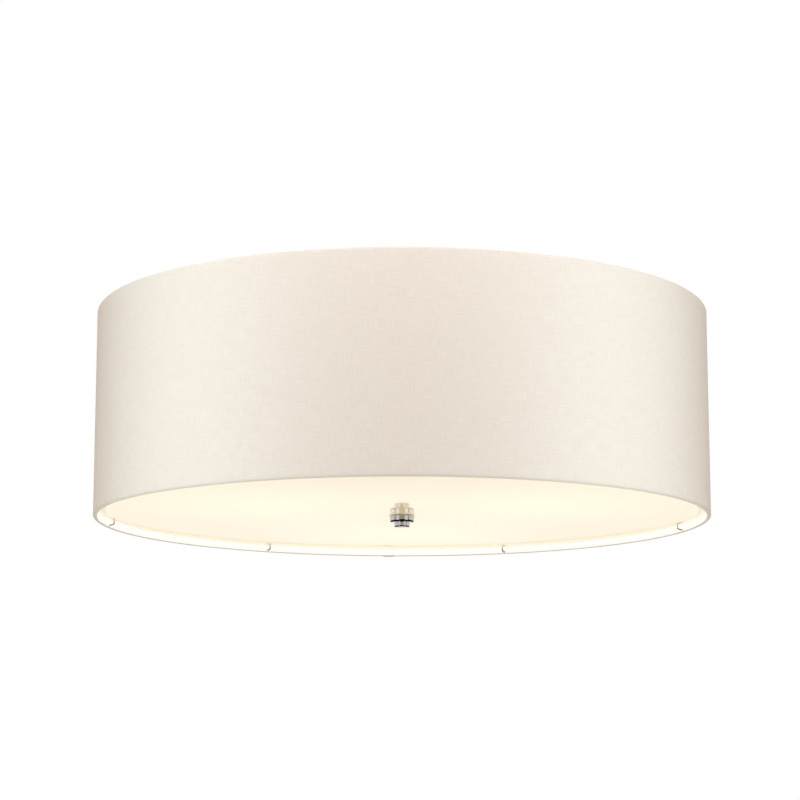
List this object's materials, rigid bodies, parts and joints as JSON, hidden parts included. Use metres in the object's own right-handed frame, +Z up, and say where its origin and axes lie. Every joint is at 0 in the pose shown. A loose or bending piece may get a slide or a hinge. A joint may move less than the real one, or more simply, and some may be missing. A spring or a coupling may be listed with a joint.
{
  "type": "flush mount ceiling light",
  "caption": "Round linen drum ceiling light with a pressed ceiling pan, radial screw-cap lamps on a hidden rod, a recessed opal disc and a polished stepped finial.",
  "frame": {"origin": "centre of the strap's two slots, in the plane of the ceiling", "axes": "+Z up through the ceiling along the shade's axis; +X along the ceiling strap; -Y towards the viewer of the picture"},
  "size_m": [0.6, 0.6, 0.2141],
  "materials": {
    "zinc_steel": "zinc plated pressed steel",
    "white_enamel": "white powder coat",
    "bright_steel": "nickel plated",
    "black_rubber": "moulded rubber",
    "nylon": "moulded natural nylon",
    "brass": "turned and pressed brass",
    "lead_sleeve": "extruded sleeve",
    "earth_sleeve": "extruded sleeve",
    "linen": "woven linen",
    "shade_liner": "calendered sheet",
    "white_resin": "moulded resin",
    "lamp_glass": "opal glass",
    "lamp_cap": "rolled cap",
    "opal_disc": "opal acrylic sheet",
    "clear_washer": "clear soft washer",
    "chrome": "polished chrome plate"
  },
  "bodies": {
    "root": {"block_screw": "bright_steel", "bottom_ring": "white_enamel", "bracket_rivets": "bright_steel", "ceiling_pan": "white_enamel", "centre_rod": "zinc_steel", "disc_lugs": "bright_steel", "earth_lead": "earth_sleeve", "earth_nut": "bright_steel", "earth_stud": "bright_steel", "earth_tag": "brass", "holder_body_1": "white_resin", "holder_body_2": "white_resin", "holder_body_3": "white_resin", "holder_contact_1": "brass", "holder_contact_2": "brass", "holder_contact_3": "brass", "holder_nuts": "bright_steel", "holder_sleeve_1": "lamp_cap", "holder_sleeve_2": "lamp_cap", "holder_sleeve_3": "lamp_cap", "hub_nuts": "bright_steel", "lamp_bracket_1": "zinc_steel", "lamp_bracket_2": "zinc_steel", "lamp_bracket_3": "zinc_steel", "lamp_leads": "lead_sleeve", "lead_bushes": "black_rubber", "mounting_strap": "zinc_steel", "pan_screws": "bright_steel", "rod_nuts": "bright_steel", "rod_washers": "bright_steel", "shade_hub": "white_enamel", "shade_linen": "linen", "shade_liner": "shade_liner", "spider_arms": "white_enamel", "terminal_block": "nylon", "terminal_screws": "brass", "top_ring": "white_enamel"},
    "diffuser": {"diffuser": "opal_disc", "diffuser_bush": "nylon"},
    "finial": {"finial_cap": "chrome", "finial_insert": "brass", "finial_washer": "clear_washer"},
    "lamp_1": {"lamp_glass_1": "lamp_glass", "lamp_cap_1": "lamp_cap", "lamp_contact_1": "brass"},
    "lamp_2": {"lamp_glass_2": "lamp_glass", "lamp_cap_2": "lamp_cap", "lamp_contact_2": "brass"},
    "lamp_3": {"lamp_glass_3": "lamp_glass", "lamp_cap_3": "lamp_cap", "lamp_contact_3": "brass"}
  },
  "joints": [
    {"name": "diffuser_drop", "type": "slide", "parent": "root", "child": "diffuser", "axis": [0, 0, -1], "range_m": [0, 0.15]},
    {"name": "finial_turn", "type": "hinge", "parent": "diffuser", "child": "finial", "pos_m": [0, 0, -0.2025], "axis": [0, 0, 1], "continuous": true},
    {"name": "lamp_1_out", "type": "slide", "parent": "root", "child": "lamp_1", "axis": [0, 1, 0], "range_m": [0, 0.028]},
    {"name": "lamp_2_out", "type": "slide", "parent": "root", "child": "lamp_2", "axis": [-0.866, -0.5, 0], "range_m": [0, 0.028]},
    {"name": "lamp_3_out", "type": "slide", "parent": "root", "child": "lamp_3", "axis": [0.866, -0.5, 0], "range_m": [0, 0.028]}
  ]
}
